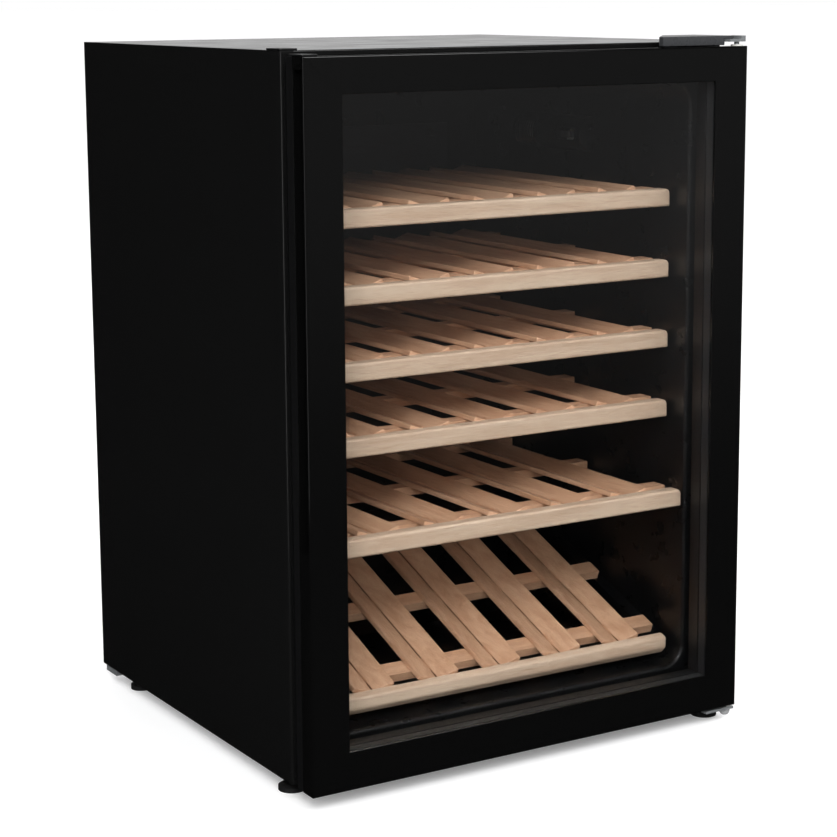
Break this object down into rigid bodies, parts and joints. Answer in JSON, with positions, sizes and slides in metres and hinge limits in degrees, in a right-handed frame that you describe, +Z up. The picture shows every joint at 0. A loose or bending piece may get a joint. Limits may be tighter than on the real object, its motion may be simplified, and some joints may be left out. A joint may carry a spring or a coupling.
{
  "type": "wine cooler",
  "caption": "Free-standing compressor wine cooler with a glass door, sliding beech shelves, a sloping display shelf and a thumbwheel thermostat.",
  "frame": {"origin": "on the floor, under the middle of the object's bounding box", "axes": "+X to the user's right, the door faces -Y, +Z up"},
  "size_m": [0.595, 0.58, 0.841],
  "materials": {
    "black_steel": "satin",
    "zinc_steel": "satin",
    "compressor_black": "gloss",
    "gloss_black": "gloss",
    "black_plastic": "satin",
    "liner_plastic": "satin",
    "grey_plastic": "satin",
    "white_plastic": "satin",
    "dial_plastic": "gloss",
    "clear_plastic": "gloss",
    "cold_plate": "satin",
    "foam": "matte",
    "beech": "satin",
    "glass": "gloss",
    "spacer": "satin",
    "rubber": "matte",
    "chrome": "polished",
    "copper": "satin"
  },
  "bodies": {
    "cabinet": {"side_panel_left": "black_steel", "side_panel_right": "black_steel", "top_panel": "black_steel", "back_panel": "black_steel", "bottom_panel": "zinc_steel", "front_crossmember": "black_steel", "compressor_tray": "zinc_steel", "compartment_cover": "black_steel", "power_inlet": "black_plastic", "inner_liner": "liner_plastic", "insulation_foam": "foam", "evaporator_plate": "cold_plate", "evaporator_clips": "black_plastic", "control_housing": "liner_plastic", "thermostat_body": "white_plastic", "led_board": "white_plastic", "lamp_lens": "clear_plastic", "compressor": "compressor_black", "terminal_box": "black_plastic", "compressor_grommets": "rubber", "compressor_bolts": "zinc_steel", "condenser_tube": "copper", "filter_drier": "copper", "refrigerant_pipes": "copper", "drip_tray": "white_plastic", "drain_tube": "white_plastic", "hinge_plate_top": "zinc_steel", "hinge_cover_top": "grey_plastic", "hinge_bracket_bottom": "zinc_steel", "hinge_pin_bottom": "chrome", "hinge_screws": "zinc_steel", "blanking_cap": "black_plastic", "rear_feet": "rubber", "display_fascia": "beech", "display_rack": "beech"},
    "door": {"door_stile_left": "gloss_black", "door_stile_right": "gloss_black", "door_rail_top": "gloss_black", "door_rail_bottom": "gloss_black", "glass_outer": "glass", "glass_inner": "glass", "glazing_spacer": "spacer", "retaining_frame": "black_plastic", "door_gasket": "rubber", "hinge_bushes": "white_plastic", "door_plug": "black_plastic"},
    "shelf_1": {"shelf_1_fascia": "beech", "shelf_1_rack": "beech"},
    "shelf_2": {"shelf_2_fascia": "beech", "shelf_2_rack": "beech"},
    "shelf_3": {"shelf_3_fascia": "beech", "shelf_3_rack": "beech"},
    "shelf_4": {"shelf_4_fascia": "beech", "shelf_4_rack": "beech"},
    "shelf_5": {"shelf_5_fascia": "beech", "shelf_5_rack": "beech"},
    "dial": {"thermostat_dial": "dial_plastic"},
    "foot_left": {"front_foot_left": "rubber"},
    "foot_right": {"front_foot_right": "rubber"}
  },
  "joints": [
    {"name": "door_hinge", "type": "hinge", "parent": "cabinet", "child": "door", "pos_m": [0.2895, -0.279, 0], "axis": [0, 0, 1], "range_deg": [0, 115]},
    {"name": "shelf_1_slide", "type": "slide", "parent": "cabinet", "child": "shelf_1", "axis": [0, -1, 0], "range_m": [0, 0.165]},
    {"name": "shelf_2_slide", "type": "slide", "parent": "cabinet", "child": "shelf_2", "axis": [0, -1, 0], "range_m": [0, 0.165]},
    {"name": "shelf_3_slide", "type": "slide", "parent": "cabinet", "child": "shelf_3", "axis": [0, -1, 0], "range_m": [0, 0.165]},
    {"name": "shelf_4_slide", "type": "slide", "parent": "cabinet", "child": "shelf_4", "axis": [0, -1, 0], "range_m": [0, 0.165]},
    {"name": "shelf_5_slide", "type": "slide", "parent": "cabinet", "child": "shelf_5", "axis": [0, -1, 0], "range_m": [-0.03, 0.095]},
    {"name": "dial_turn", "type": "hinge", "parent": "cabinet", "child": "dial", "pos_m": [0.245, -0.015, 0.714], "axis": [0, 0, 1], "range_deg": [0, 300]},
    {"name": "foot_left_screw", "type": "hinge", "parent": "cabinet", "child": "foot_left", "pos_m": [-0.2775, -0.202, 0], "axis": [0, 0, 1], "range_deg": [-180, 180]},
    {"name": "foot_right_screw", "type": "hinge", "parent": "cabinet", "child": "foot_right", "pos_m": [0.28, -0.25, 0], "axis": [0, 0, 1], "range_deg": [-180, 180]}
  ],
  "couplings": [
    {"joint": "shelf_1_slide", "follows": "door_hinge", "m_per_rad": 0.08},
    {"joint": "shelf_2_slide", "follows": "door_hinge", "m_per_rad": 0.08},
    {"joint": "shelf_3_slide", "follows": "door_hinge", "m_per_rad": 0.08},
    {"joint": "shelf_4_slide", "follows": "door_hinge", "m_per_rad": 0.08},
    {"joint": "shelf_5_slide", "follows": "door_hinge", "m_per_rad": 0.045}
  ]
}
